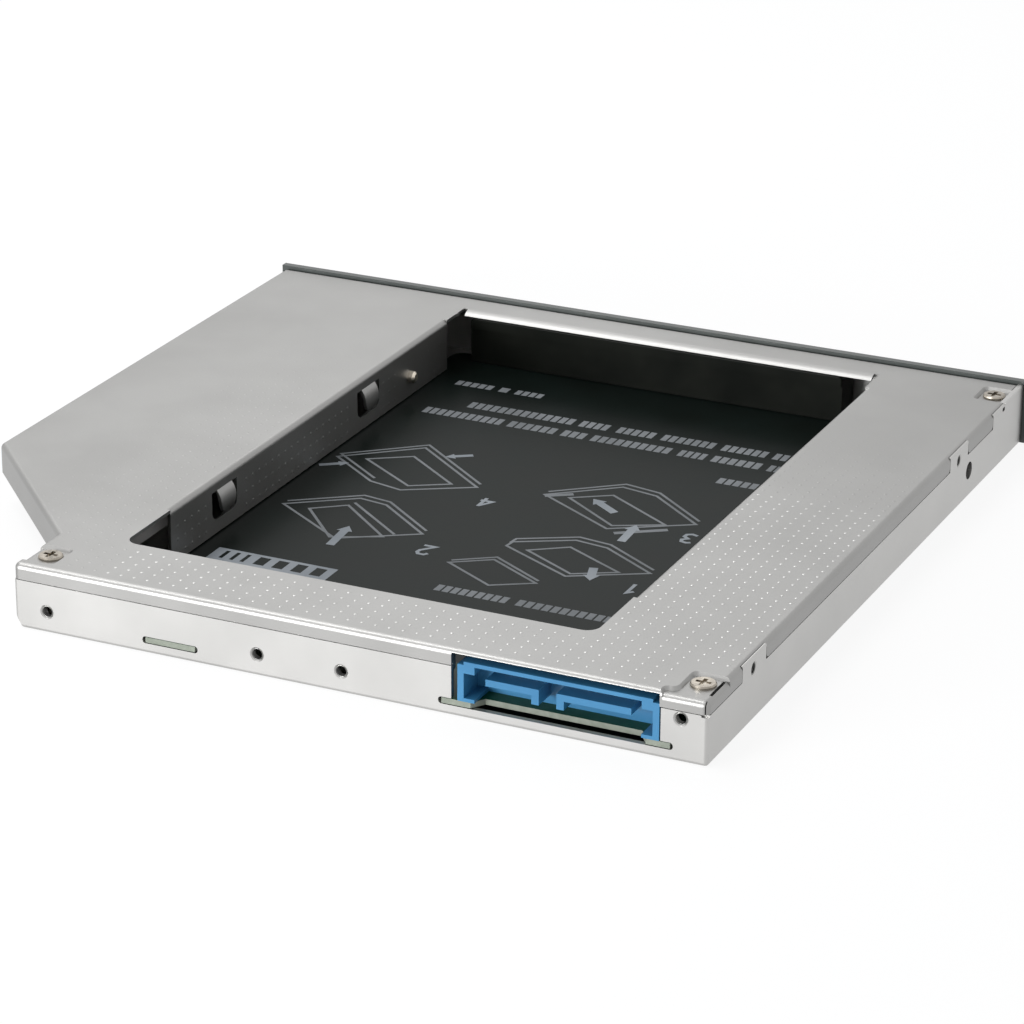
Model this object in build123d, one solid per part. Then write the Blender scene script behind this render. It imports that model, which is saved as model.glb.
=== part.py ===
from build123d import *
from math import atan2, cos, sin
import os

# Laptop drive caddy: a slim aluminium tray and cover the size of an optical drive,
# which carries one 2.5 inch drive. All lengths are in millimetres.
# +X points to the wing, +Y to the rear connectors, +Z up. The bezel is at -Y.
# The model is laid out about the middle of the metal body, and is moved when it is
# written, so that the origin lies under the middle of the whole caddy.
# An inset is a distance inwards from the edge or end that its name or note gives.

# Driving sizes of the metal body
body_width = 128.0
body_depth = 126.8
body_height = 9.5

# Plan: a rail on each side of the drive, and the wing takes the rest of the width
right_rail = 21.5
drive_width = 69.85
drive_side_play = 1.22
left_rail = 9.93
chamfer_rear_inset = 11.65
chamfer_side_inset = 37.95
wing_height = 4.6

# Sheet metal
tray_sheet = 0.8
cover_sheet = 0.5
tray_bend = 0.5
cover_bend = 0.8
corner_round = 0.55
lap_gap = 0.05
sheet_gap = 0.1
keel_slope_width = 1.2
keel_slope_height = 2.0
corner_relief_width = 1.0
corner_relief_height = 0.25

# Cover flanges along the rear and the right side
flange_height = 2.3
side_flange_drop = 0.85
side_flange_round = 1.6
flange_round = 0.8
flange_1_rear_inset = 11.35
flange_2_rear_inset = 19.85
flange_2_front_inset = 33.95
flange_3_rear_inset = 25.75
flange_3_front_inset = 14.35
corner_slit = 0.15
pad_rim_sheet = 0.3
pad_rim_drop = 0.12
pad_round = 0.2

# Window over the drive bay, with its walls and its front lip
window_rear_rail = 12.98
window_front_rail = 6.75
window_corner = 2.0
window_bend = 0.9
bay_wall_front_inset = 11.55
bay_wall_rear_inset = 25.85
bay_wall_bottom = 1.15
lip_height = 0.7
lip_run = 1.5
lip_join = 0.5
lip_notch = 0.8

# Spring tongues in the left bay wall, one placed from the rear and one from the front
tongue_rear_inset = 41.5
tongue_front_inset = 39.45
tongue_width = 4.4
tongue_slot_width = 7.4
tongue_slot_round = 1.4
tongue_drop = 1.9
tongue_bottom_height = 2.6
tongue_end_gap = 0.55
tongue_bulge = 0.75

# Height of the drive over the floor, and its front side screw
drive_lift = 0.35
drive_screw_height = 3.0
drive_screw_front_inset = 24.95

# Cover screws in their pockets
screw_right_inset = 2.8
screw_left_inset = 3.0
screw_rear_inset = 4.95
screw_front_inset = 5.55
pocket_depth = 0.5
pocket_slope = 0.4
pocket_corner = 0.8
pocket_reach_right = 2.4
pocket_reach_left = 2.3
pocket_reach_front = 2.6
pocket_reach_rear = 3.3
pocket_ledge = 1.9
pocket_ledge_gap = 0.3
pocket_overrun = 2.0
slit_width = 0.4
slit_inset = 0.5
slit_ahead = 2.0
slit_behind = 2.7
cover_head_radius = 1.75
cover_head_height = 0.42
cover_head_bevel = 0.18
cover_thread_radius = 0.85
cover_thread_length = 4.0
screw_hole_gap = 0.15
standoff_radius = 1.5
standoff_gap = 0.15

# Threaded holes in the tray's walls, and the open hole for the drive's screw
tapped_radius = 0.8
tapped_mouth = 1.05
tapped_mouth_depth = 0.25
collar_radius = 1.15
collar_length = 0.45
bore_overcut = 1.0
rear_tapped_height = 3.1
rear_tapped_insets = (64.9, 52.3)
narrow_tapped_inset = 5.1
corner_tapped_inset = 3.8
corner_tapped_drop = 3.45
side_tapped_drop = 2.0
side_tapped_rear_inset = 15.5
side_tapped_front_inset = 29.75
access_radius = 1.35

# Adapter board: insets from the right side and the rear, ears beside the plug
board_sheet = 0.8
board_underside = 1.55
board_rear_inset = 2.0
board_front_inset = 10.75
board_right_inset = 5.25
board_left_inset = 4.57
board_ear_reach = 1.95
board_ear_slope = 1.3
right_ear_width = 3.3
left_ear_right = 1.85
left_ear_left = 2.35
third_ear_inset = 74.4
third_ear_width = 7.6
ear_end_gap = 0.45
board_slot_gap = 0.1
board_screw_insets = ((21.0, 8.75), (71.0, 3.9))
board_screw_radius = 1.0
board_screw_head = 1.75
board_screw_head_height = 1.0
board_screw_bevel = 0.35
board_boss_radius = 2.1
board_notch_radius = 1.6

# Host plug at the rear
plug_right_inset = 6.75
plug_width = 28.5
plug_side_gap = 0.9
plug_top_gap = 0.95
plug_shoulder_drop = 0.45
plug_bar = 0.55
plug_wall = 0.9
plug_depth = 5.6
plug_back_wall = 1.2
plug_corner_drop = 1.2
plug_corner_width = 1.55
plug_foot_height = 0.5
plate_sheet = 0.95
plate_leg_height = 1.25
plate_leg_width = 1.05
plate_setback = 0.4
plate_drop = 0.08
power_plate_inset = 3.85
power_plate_width = 7.6
signal_plate_inset = 4.05
signal_plate_width = 10.5
signal_pin_count = 7
signal_pitch = 1.27
host_power_pin_count = 6
host_power_pitch = 1.0
contact_width = 0.5
contact_sheet = 0.2
contact_tail = 1.1
contact_setback = 0.5

# Socket for the drive, off the middle of the bay as the drive's own plug is
socket_offset = 9.365
socket_width = 41.8
socket_front_inset = 16.15
socket_rear_inset = 6.45
socket_underside = 2.05
socket_roof = 1.6
socket_edge_gap = 0.15
socket_slot_height = 1.5
socket_slot_depth = 5.4
socket_slot_center = 4.55
socket_signal_slot = 10.9
socket_power_slot = 21.3
socket_slot_spacing = 2.3
socket_key_height = 1.2
socket_key_width = 1.3
drive_power_pin_count = 15
socket_guide_width = 2.4
socket_guide_depth = 3.4
socket_guide_height = 1.4
socket_tail = 0.65

# Film on the floor
film_sheet = 0.15
film_right_inset = 5.0
film_left_inset = 2.43
film_front_inset = 2.95
film_rear_inset = 1.3
film_round = 2.0
film_hole_gap = 0.4

# Retainer bar that closes the bay in front of the drive
retainer_right_inset = 5.6
retainer_left_inset = 1.77
retainer_setback = 0.2
retainer_depth = 5.2
retainer_band = 1.85
retainer_band_step = 0.25
retainer_gap = 0.12
retainer_top_gap = 0.15
retainer_end_round = 0.9
retainer_rim_round = 0.3
retainer_pocket_count = 5
retainer_rib = 1.2
retainer_back = 1.5
retainer_roof = 1.3

# Bezel, with a clip on each rail and more along the wing
bezel_depth = 1.7
bezel_gap = 0.15
bezel_overhang = 0.6
bezel_rise = 0.45
bezel_round = 0.6
clip_right_inset = 14.0
clip_left_inset = 4.5
clip_pitch = 22.0
clip_width = 6.0
clip_thickness = 1.0
clip_barb = 0.4
clip_root = 1.0
clip_window_gap = 0.2

# Pin in the left bay wall that reaches into the drive's side hole
pin_radius = 0.95
pin_reach = 1.1
pin_tip_round = 0.35
pin_head_radius = 1.7
pin_head_height = 0.6

# Small parts on the board: insets from the right side and the rear, then their sizes
capacitor_insets = ((40.5, 5.4), (40.5, 7.65))
capacitor_size = (1.6, 0.8, 0.8)
resistor_insets = ((14.5, 9.05), (27.5, 9.05), (30.5, 9.05))
resistor_size = (1.0, 0.5, 0.35)

# Edges and heights that follow from the sizes above
half_width = body_width / 2
half_depth = body_depth / 2
right, left = -half_width, half_width
front, rear = -half_depth, half_depth
window_right = right + right_rail
window_left = window_right + drive_width + drive_side_play
window_front = front + window_front_rail
window_rear = rear - window_rear_rail
bay_middle = (window_right + window_left) / 2
narrow_side_x = window_left + left_rail
chamfer_rear_y = rear - chamfer_rear_inset
chamfer_side_y = rear - chamfer_side_inset
bay_wall_front = front + bay_wall_front_inset
bay_wall_rear = rear - bay_wall_rear_inset
cover_under = body_height - cover_sheet
floor_top = tray_sheet
wing_underside = body_height - wing_height
wing_floor_top = wing_underside + tray_sheet
film_top = floor_top + film_sheet
board_top = board_underside + board_sheet
lap_inset = cover_sheet + lap_gap
flange_bottom = body_height - flange_height
step_top = flange_bottom - sheet_gap
pocket_floor = body_height - pocket_depth
pocket_under = pocket_floor - cover_sheet
far = 2 * body_width
to_origin = Location((0, (bezel_depth + bezel_gap) / 2, 0))

# Places that follow
side_flange_1 = (rear - flange_1_rear_inset, rear)
side_flange_2 = (front + flange_2_front_inset, rear - flange_2_rear_inset)
side_flange_3 = (front + flange_3_front_inset, front + flange_3_rear_inset)
rear_right_screw = (right + screw_right_inset, rear - screw_rear_inset)
rear_left_screw = (narrow_side_x - screw_left_inset, rear - screw_rear_inset)
front_screw = (right + screw_right_inset, front + screw_front_inset)
cover_screw_xy = (rear_right_screw, rear_left_screw, front_screw)
board_screw_xy = [(right + x, rear - y) for x, y in board_screw_insets]
capacitor_xy = [(right + x, rear - y) for x, y in capacitor_insets]
resistor_xy = [(right + x, rear - y) for x, y in resistor_insets]
middle_tapped = [(right + x, rear_tapped_height) for x in rear_tapped_insets]
rear_tapped = middle_tapped + [(narrow_side_x - narrow_tapped_inset, rear_tapped_height),
                               (right + corner_tapped_inset, body_height - corner_tapped_drop)]
side_tapped = [(rear - side_tapped_rear_inset, body_height - side_tapped_drop),
               (front + side_tapped_front_inset, body_height - side_tapped_drop)]
pin_y = front + drive_screw_front_inset
pin_z = film_top + drive_lift + drive_screw_height
tongue_centers = (rear - tongue_rear_inset, front + tongue_front_inset)
tongue_top = body_height - tongue_drop
tongue_bottom = bay_wall_bottom + tongue_bottom_height
plug_right = right + plug_right_inset
plug_left = plug_right + plug_width
plug_top = cover_under - plug_top_gap
plug_shoulder = plug_top - plug_shoulder_drop
plate_middle = (board_top + plug_top - plug_bar) / 2 - plate_drop
plate_top = plate_middle + (plate_sheet + plate_leg_height) / 2
power_plate_x = (plug_left - power_plate_inset - power_plate_width, plug_left - power_plate_inset)
signal_plate_x = (plug_right + signal_plate_inset, plug_right + signal_plate_inset + signal_plate_width)
board_right_x = right + board_right_inset
board_left_x = window_left - board_left_inset
board_rear_y = rear - board_rear_inset
board_front_y = rear - board_front_inset
board_ears = ((board_right_x, board_right_x + right_ear_width),
              (plug_left - left_ear_right, plug_left + left_ear_left),
              (right + third_ear_inset, right + third_ear_inset + third_ear_width))
socket_center_x = bay_middle + socket_offset
socket_front_y = rear - socket_front_inset
socket_rear_y = rear - socket_rear_inset
socket_top = socket_slot_center + socket_slot_height / 2 + socket_roof
film_x = (right + film_right_inset, window_left + film_left_inset)
film_y = (front + film_front_inset, rear - film_rear_inset)
retainer_x = (window_right + retainer_right_inset, window_left - retainer_left_inset)
retainer_rear_y = window_front - retainer_setback
clip_z = (wing_floor_top + cover_under) / 2
wing_clip_count = int((left - clip_width - narrow_side_x + clip_left_inset) // clip_pitch) + 1
clip_x = [right + clip_right_inset] + [narrow_side_x - clip_left_inset + i * clip_pitch
                                       for i in range(wing_clip_count)]


def block(x0, x1, y0, y1, z0, z1):
    """A box between the given limits."""
    size = (abs(x1 - x0), abs(y1 - y0), abs(z1 - z0))
    middle = ((x0 + x1) / 2, (y0 + y1) / 2, (z0 + z1) / 2)
    return Pos(*middle) * Box(*size)


def rod(x, y, z0, z1, radius):
    """An upright cylinder."""
    return Pos(x, y, (z0 + z1) / 2) * Cylinder(radius, z1 - z0)


def rod_along_y(x, z, y0, y1, radius):
    """A cylinder that lies along Y."""
    return Pos(x, (y0 + y1) / 2, z) * Rot(X=90) * Cylinder(radius, abs(y1 - y0))


def rod_along_x(y, z, x0, x1, radius):
    """A cylinder that lies along X."""
    return Pos((x0 + x1) / 2, y, z) * Rot(Y=90) * Cylinder(radius, abs(x1 - x0))


def body_outline():
    """Plan of the deep part of the tray, without the wing."""
    corners = [(right, front), (narrow_side_x, front), (narrow_side_x, rear), (right, rear)]
    return make_face(Polyline(*corners, close=True))


def full_outline():
    """Plan of the whole caddy, with the wing and its cut corner."""
    corners = [(right, front), (left, front), (left, chamfer_side_y),
               (narrow_side_x, chamfer_rear_y), (narrow_side_x, rear), (right, rear)]
    return make_face(Polyline(*corners, close=True))


def prism(outline, inset, z0, z1):
    """The outline drawn in by inset, raised from z0 to z1."""
    face = offset(outline, -inset, kind=Kind.INTERSECTION) if inset else outline
    return Pos(0, 0, z0) * extrude(face, z1 - z0)


def round_corners(solid, radius):
    """The solid with its upright outer corners rounded, all but the two at the bezel."""
    edges = [e for e in solid.edges().filter_by(Axis.Z) if e.center().Y > front + 1]
    convex = [e for e in edges if abs(e.center().Y - chamfer_rear_y) > 0.1]
    return fillet(convex, radius)


def beside_wing(z0):
    """The space over the wing, up to the corner where the outline turns to the narrow side."""
    return block(narrow_side_x - 1.5, far, front + tray_sheet, chamfer_rear_y, z0, far)


def lap_prism(inset, z0, z1):
    """The space behind the cover's flanges, which runs on straight to the front wall."""
    space = prism(full_outline(), lap_inset + inset, z0, z1)
    reach = lap_inset + inset
    return space + block(left - reach, right + reach, front + inset, 0, z0, z1)


def keel_wedge(thickness):
    """The wedge outside the sloping foot of the left wall, or outside a plane parallel to it."""
    slope = (keel_slope_width ** 2 + keel_slope_height ** 2) ** 0.5
    grow = 1 + thickness * slope / (keel_slope_width * keel_slope_height)
    corners = [(narrow_side_x, 0), (narrow_side_x - keel_slope_width * grow, 0),
               (narrow_side_x, keel_slope_height * grow)]
    face = make_face(Polyline(*corners, close=True))
    return Pos(0, rear, 0) * Rot(X=90) * extrude(face, body_depth)


def tray_shell():
    """Floor, walls and raised wing floor, as one folded sheet."""
    shell = round_corners(prism(body_outline(), 0, 0, step_top), corner_round) - keel_wedge(0)
    shell = fillet(shell.edges().group_by(Axis.Z)[0], tray_bend)
    shell -= prism(body_outline(), tray_sheet, floor_top, far) - keel_wedge(tray_sheet)
    shell += prism(full_outline(), lap_inset, wing_underside, wing_floor_top) & beside_wing(0)
    upper = lap_prism(0, step_top - tray_sheet, cover_under)
    upper = fillet(upper.faces().sort_by(Axis.Z)[-1].edges(), cover_bend - cover_sheet + lap_gap)
    shell += upper - lap_prism(tray_sheet, 0, far)
    wing_wall = lap_prism(0, wing_underside, step_top) - lap_prism(tray_sheet, 0, far)
    shell += wing_wall & beside_wing(0)
    shell += block(right + lap_inset, left - lap_inset, front, front + tray_sheet, wing_underside, step_top)
    shell -= beside_wing(wing_underside) - lap_prism(0, 0, far)
    inner = block(narrow_side_x - 1.5, narrow_side_x, front + tray_sheet, chamfer_rear_y, wing_floor_top, far)
    return shell - (inner & lap_prism(tray_sheet, 0, far))


def flange_gaps():
    """Stretches of the right side between the cover's flanges, behind the front pocket's rim."""
    return [(side_flange_2[1], side_flange_1[0]), (side_flange_3[1], side_flange_2[0]),
            (front_rim_end(), side_flange_3[0])]


def front_rim_end():
    """Where the tray's full rim beside the front pocket stops."""
    return front_screw[1] + pocket_reach_rear


def side_rim(y0, y1, thickness, top):
    """A stretch of the right wall, with its outer top edge rounded."""
    rim = block(right, right + thickness, y0, y1, step_top - tray_sheet, top)
    return fillet(rim.edges().filter_by(Axis.Y).group_by(Axis.Z)[-1].sort_by(Axis.X)[0], pad_round)


def tray_side_pads():
    """Stretches of the right wall that stand up between the cover's flanges."""
    pads = side_rim(front, front_rim_end(), tray_sheet, body_height)
    for y0, y1 in flange_gaps():
        start = y0 + sheet_gap if y0 > front_rim_end() else y0
        pads += side_rim(start, y1 - sheet_gap, tray_sheet, cover_under - sheet_gap)
        pads += side_rim(start, y1 - sheet_gap, pad_rim_sheet, body_height - pad_rim_drop)
    return pads


def side_pad_room():
    """The joggled wall that is left out beside the stretches that stand up."""
    room = block(right + tray_sheet, right + 3 * tray_sheet, front + tray_sheet, front_rim_end(),
                 step_top - tray_sheet, body_height)
    for y0, y1 in flange_gaps():
        room += block(right + tray_sheet, right + 3 * tray_sheet, y0, y1, step_top - tray_sheet, body_height)
    return room


def side_flange_lobe(grow):
    """The deeper first side flange, as a plate through the right wall, grown by a gap."""
    y0 = side_flange_1[0] - grow
    low = flange_bottom - side_flange_drop - grow
    face = make_face(Polyline((y0, body_height), (y0, low), (rear + grow, flange_bottom - grow),
                              (rear + grow, body_height), close=True))
    lower = face.vertices().sort_by(Axis.Y)[0]
    face = fillet(lower, side_flange_round)
    plate = Rot(X=90) * extrude(face, lap_inset + sheet_gap)
    return Pos(right + lap_inset, 0, 0) * Rot(Z=90) * plate


def rear_bore(x, z):
    """A tapped hole through the rear wall and its collar, with a widened mouth."""
    inner = rear - tray_sheet - collar_length - bore_overcut
    mouth = Pos(x, rear - tapped_mouth_depth / 2, z) * Rot(X=-90)
    return (rod_along_y(x, z, inner, rear + bore_overcut, tapped_radius)
            + mouth * Cone(tapped_radius, tapped_mouth, tapped_mouth_depth))


def side_bore(y, z):
    """A tapped hole through the right wall and its collar, with a widened mouth."""
    inner = right + tray_sheet + collar_length + bore_overcut
    mouth = Pos(right + tapped_mouth_depth / 2, y, z) * Rot(Y=-90)
    return (rod_along_x(y, z, right - bore_overcut, inner, tapped_radius)
            + mouth * Cone(tapped_radius, tapped_mouth, tapped_mouth_depth))


def rear_collar(x, z):
    """A drawn collar behind a tapped hole in the rear wall."""
    inner = rear - tray_sheet
    return rod_along_y(x, z, inner - collar_length, inner, collar_radius)


def side_collar(y, z):
    """A drawn collar behind a tapped hole in the right wall."""
    inner = right + tray_sheet
    return rod_along_x(y, z, inner, inner + collar_length, collar_radius)


def ear_slot(x0, x1):
    """A slot with rounded ends through the rear wall, for the board's ears."""
    low, high = board_underside - board_slot_gap, board_top + board_slot_gap
    face = RectangleRounded(x1 - x0, high - low, (high - low) / 2 - 0.05)
    slot = Rot(X=90) * extrude(face, 4 * tray_sheet)
    return Pos((x0 + x1) / 2, rear + tray_sheet, (low + high) / 2) * slot


def rear_openings():
    """Cut-out for the host plug, the slot under it and the slot for the third ear."""
    wall = (rear - 3 * tray_sheet, rear + tray_sheet)
    cuts = block(plug_right - 2 * board_slot_gap, plug_left + plug_side_gap, *wall,
                 board_underside - board_slot_gap, far)
    cuts += ear_slot(board_ears[0][0] - ear_end_gap, board_ears[1][1] + ear_end_gap)
    return cuts + ear_slot(board_ears[2][0] - ear_end_gap, board_ears[2][1] + ear_end_gap)


def clip_windows():
    """Windows in the front wall for the bezel's clips."""
    cuts = Part()
    for x in clip_x:
        half = clip_width / 2 + clip_window_gap
        low = clip_z - clip_thickness / 2 - clip_window_gap
        high = clip_z + clip_thickness / 2 + clip_barb + clip_window_gap
        cuts += block(x - half, x + half, front - 1, front + tray_sheet + 1, low, high)
    return cuts


def bottom_tray():
    """The aluminium tray."""
    tray = tray_shell() - side_pad_room() + tray_side_pads() - side_flange_lobe(sheet_gap)
    tray -= block(right - 1, right + corner_relief_width, rear - lap_inset, rear + 1,
                  step_top - corner_relief_height, step_top)
    for x, z in rear_tapped:
        tray += rear_collar(x, z)
    for y, z in side_tapped:
        tray += side_collar(y, z)
    tray -= rear_openings()
    for x, z in rear_tapped:
        tray -= rear_bore(x, z)
    for y, z in side_tapped:
        tray -= side_bore(y, z)
    tray -= rod_along_x(pin_y, pin_z, right - bore_overcut, right + tray_sheet + bore_overcut, access_radius)
    for x, y in cover_screw_xy:
        tray -= rod(x, y, floor_top, far, standoff_radius + standoff_gap)
    front_rim = block(right, right + tray_sheet, front, front_rim_end(), 0, far)
    for outline in pocket_outlines():
        tray -= pocket_room(outline) - front_rim
    return tray - clip_windows()


def pocket_plan(x0, x1, y0, y1):
    """Corners of a plain pocket."""
    return [(x0, y0), (x1, y0), (x1, y1), (x0, y1)]


def pocket_outlines():
    """Plans of the three pockets at the cover's top. They run out over the edges beside them."""
    out_x, out_y = half_width + pocket_overrun, half_depth + pocket_overrun
    x, y = rear_right_screw
    inner_x, ledge_x = x + pocket_reach_right, plug_right + pocket_slope - pocket_ledge_gap
    front_y, ledge_y = y - pocket_reach_front, rear - pocket_ledge
    plans = [[(-out_x, front_y), (inner_x, front_y), (inner_x, ledge_y), (ledge_x, ledge_y),
              (ledge_x, out_y), (-out_x, out_y)]]
    x, y = rear_left_screw
    plans.append(pocket_plan(x - pocket_reach_left, out_x, y - pocket_reach_front, y + pocket_reach_rear))
    x, y = front_screw
    plans.append(pocket_plan(-out_x, x + pocket_reach_right, y - pocket_reach_front, y + pocket_reach_rear))
    return [round_plan(plan) for plan in plans]


def round_plan(corners):
    """A face with the given corners, all rounded."""
    face = make_face(Polyline(*corners, close=True))
    return fillet(face.vertices(), pocket_corner)


def pocket_room(outline):
    """Room in the tray for the sheet around one pocket."""
    low = pocket_under - sheet_gap
    return Pos(0, 0, low) * extrude(offset(outline, 2 * cover_sheet), cover_under - low)


def pocket_tool(outline, top):
    """One pocket as a solid: its mouth at height top, its bed below, and sloping sides between."""
    mouth = Pos(0, 0, top) * outline
    bed = Pos(0, 0, top - pocket_depth) * offset(outline, -pocket_slope)
    return loft([mouth, bed], ruled=True) + Pos(0, 0, top) * extrude(outline, 1)


def rounded_plate(inset, top):
    """The space under the cover's outer skin, with rounded edges, drawn in by inset."""
    solid = prism(full_outline(), inset, 0, top)
    if not inset:
        solid = round_corners(solid, cover_bend + 0.05)
    return fillet(solid.faces().sort_by(Axis.Z)[-1].edges(), cover_bend - inset)


def cover_lid():
    """The cover's plate with pockets and with walls all round, before the walls are trimmed."""
    skin = rounded_plate(0, body_height)
    low_skin = rounded_plate(0, pocket_floor)
    hollow = rounded_plate(cover_sheet, cover_under)
    for outline in pocket_outlines():
        bed = Pos(0, 0, pocket_floor - cover_bend) * extrude(offset(outline, -pocket_slope), far)
        skin -= pocket_tool(outline, body_height) + (bed - low_skin)
        hollow -= pocket_tool(offset(outline, cover_sheet * 0.4), cover_under)
    return skin - hollow - block(-far, far, -far, far, 0, wing_underside)


def cover_wall_trims():
    """What is cut off the cover's walls, down to its flanges."""
    low = wing_underside - 1
    inner = right + cover_sheet
    rear_inner = rear - cover_sheet
    trims = block(-far, far, -far, front + cover_bend, low, cover_under)
    below = block(-far, narrow_side_x - cover_sheet, -far, far, low, flange_bottom)
    trims += below - side_flange_lobe(0)
    trims += block(narrow_side_x - 2 * cover_sheet, far, chamfer_rear_y, far, low, flange_bottom)
    trims += block(plug_right, plug_left + plug_side_gap, rear_inner - 1, far, low, cover_under)
    for y0, y1 in flange_gaps():
        trims += block(-far, inner + 1, y0, y1, low, cover_under)
        trims += block(-far, right + pad_rim_sheet + sheet_gap, y0, y1, low, far)
    trims += block(-far, inner + 1, -far, front_rim_end(), low, pocket_under)
    trims += block(-far, right + tray_sheet + sheet_gap, -far, front_rim_end(), low, far)
    trims += block(inner - corner_slit / 2, inner + corner_slit / 2, rear_inner - 0.2, far, low, cover_under)
    return trims


def rounded_flange_corners():
    """What is cut off the lower corners of the second and third side flanges."""
    cuts = Part()
    for y0, y1 in (side_flange_2, side_flange_3):
        for corner, middle in ((y0, y0 + flange_round), (y1, y1 - flange_round)):
            square = block(right - 1, right + 1, corner, middle, flange_bottom, flange_bottom + flange_round)
            cuts += square - rod_along_x(middle, flange_bottom + flange_round, right - 2, right + 2, flange_round)
    return cuts


def window_cut():
    """The opening over the drive bay, between its rear edge and its front lip."""
    face = RectangleRounded(window_left - window_right, window_rear - window_front, window_corner)
    return Pos(bay_middle, (window_rear + window_front) / 2, cover_under - 1) * extrude(face, 3)


def bay_wall(face_x, side):
    """A wall that hangs from one side of the window. Side is +1 on the left and -1 on the right."""
    y0, y1 = bay_wall_front, bay_wall_rear
    outer = face_x + side * cover_sheet
    wall = block(face_x, outer, y0, y1, bay_wall_bottom, body_height)
    wall += block(face_x, face_x + side * 3, y0, y1, cover_under, body_height)
    rim = [e for e in wall.edges().filter_by(Axis.Y)
           if abs(e.center().X - face_x) < 0.01 and abs(e.center().Z - body_height) < 0.01]
    wall = fillet(rim, window_bend)
    radius = pin_radius if side > 0 else access_radius
    return wall - rod_along_x(pin_y, pin_z, face_x - 2, face_x + 2, radius)


def bay_wall_room(face_x, side):
    """Plate that is taken away where the window's edge bends down into a bay wall."""
    return block(face_x - side, face_x + side * 2, bay_wall_front, bay_wall_rear, cover_under - 0.5,
                 body_height + 1)


def spring_tongue(y):
    """A round-ended tongue that hangs from the bay wall and bulges into the bay."""
    x0, x1 = window_left, window_left + cover_sheet
    top, low = tongue_top, tongue_bottom
    middle, tip = (top + low) / 2, tongue_bulge / 2
    near = ThreePointArc((x0, top), (x0 - tongue_bulge, middle), (x0 - tip, low))
    away = ThreePointArc((x1 - tip, low), (x1 - tongue_bulge, middle), (x1, top))
    face = make_face([near, Line((x0 - tip, low), (x1 - tip, low)), away, Line((x1, top), (x0, top))])
    half = tongue_width / 2
    strip = Pos(0, y + half, 0) * Rot(X=90) * extrude(face, tongue_width)
    outline = rod_along_x(y, low + half, x0 - 2, x1 + 2, half)
    outline += block(x0 - 2, x1 + 2, y - half, y + half, low + half, top)
    return (strip & outline) + block(x0, x1, y - half, y + half, top - 0.05, top + cover_sheet)


def tongue_slot(y):
    """The cut in the bay wall around one tongue, rounded at its lower corners."""
    half = tongue_slot_width / 2
    low = tongue_bottom - tongue_end_gap
    height = tongue_top - low + 2 * tongue_slot_round
    face = RectangleRounded(2 * half, height, tongue_slot_round)
    slot = Rot(X=90) * Rot(Y=90) * extrude(face, 4)
    slot = Pos(window_left - 2, y, low + height / 2) * slot
    return slot - block(window_left - 3, window_left + 3, y - half - 1, y + half + 1, tongue_top, far)


def front_lip():
    """The short lip that bends down from the window's front edge, cut flat below."""
    start, low = window_front - lip_run, body_height - lip_height
    turn = 2 * atan2(lip_height, lip_run)
    radius = lip_run / sin(turn)
    halfway = (start + radius * sin(turn / 2), body_height - radius * (1 - cos(turn / 2)))
    bend = ThreePointArc((start, body_height), halfway, (window_front, low))
    rest = Polyline((window_front, low), (window_front - cover_sheet, low), (start, cover_under),
                    (start - lip_join, cover_under), (start - lip_join, body_height), (start, body_height))
    x0, x1 = window_right + lip_notch, window_left - lip_notch
    return Pos(x0, 0, 0) * extrude(Plane.YZ * make_face([bend, rest]), x1 - x0, dir=(1, 0, 0))


def lip_room():
    """Plate that is taken away over the lip's bend and in the notches at its ends."""
    return block(window_right, window_left, window_front - lip_run, window_front + 1,
                 cover_under - 0.5, body_height + 1)


def pocket_slit():
    """The slit between the rear pocket's bed and the rim over the side flange."""
    x0, y = right + slit_inset, rear_right_screw[1]
    return block(x0, x0 + slit_width, y - slit_ahead, y + slit_behind, cover_under - 2, far)


def top_cover():
    """The aluminium cover, folded from one sheet."""
    cover = cover_lid() - cover_wall_trims() - rounded_flange_corners()
    cover -= window_cut()
    cover -= bay_wall_room(window_left, 1) + bay_wall_room(window_right, -1) + lip_room()
    cover += bay_wall(window_left, 1) + bay_wall(window_right, -1) + front_lip()
    for y in tongue_centers:
        cover -= tongue_slot(y)
        cover += spring_tongue(y)
    for x, y in cover_screw_xy:
        cover -= rod(x, y, cover_under - 2, far, cover_thread_radius + screw_hole_gap)
    return cover - pocket_slit()


def floor_film():
    """The dark insulating film on the tray's floor, with holes for the board's standoffs."""
    film = block(*film_x, *film_y, floor_top, film_top)
    film = fillet(film.edges().filter_by(Axis.Z), film_round)
    for x, y in board_screw_xy:
        film -= rod(x, y, 0, body_height, board_boss_radius + film_hole_gap)
    return film


def cross_recess(x, y, top, size, depth):
    """A cross-shaped recess in a screw's head."""
    arm = size * 0.28
    return (block(x - size / 2, x + size / 2, y - arm / 2, y + arm / 2, top - depth, top)
            + block(x - arm / 2, x + arm / 2, y - size / 2, y + size / 2, top - depth, top))


def cover_screws():
    """The three cover screws, with low heads that sit in the pockets."""
    screws = []
    for x, y in cover_screw_xy:
        top = pocket_floor + cover_head_height
        head = rod(x, y, pocket_floor, top, cover_head_radius)
        head = chamfer(head.edges().group_by(Axis.Z)[-1], cover_head_bevel)
        screw = head + rod(x, y, pocket_floor - cover_thread_length, pocket_floor, cover_thread_radius)
        screws.append(screw - cross_recess(x, y, top, 1.2 * cover_head_radius, 0.7 * cover_head_height))
    return screws


def cover_standoffs():
    """The threaded standoffs that take the cover screws."""
    posts = []
    for x, y in cover_screw_xy:
        post = rod(x, y, floor_top, pocket_under, standoff_radius)
        bore_bottom = pocket_floor - cover_thread_length - 0.5
        posts.append(post - rod(x, y, bore_bottom, pocket_under, cover_thread_radius))
    return posts


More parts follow.
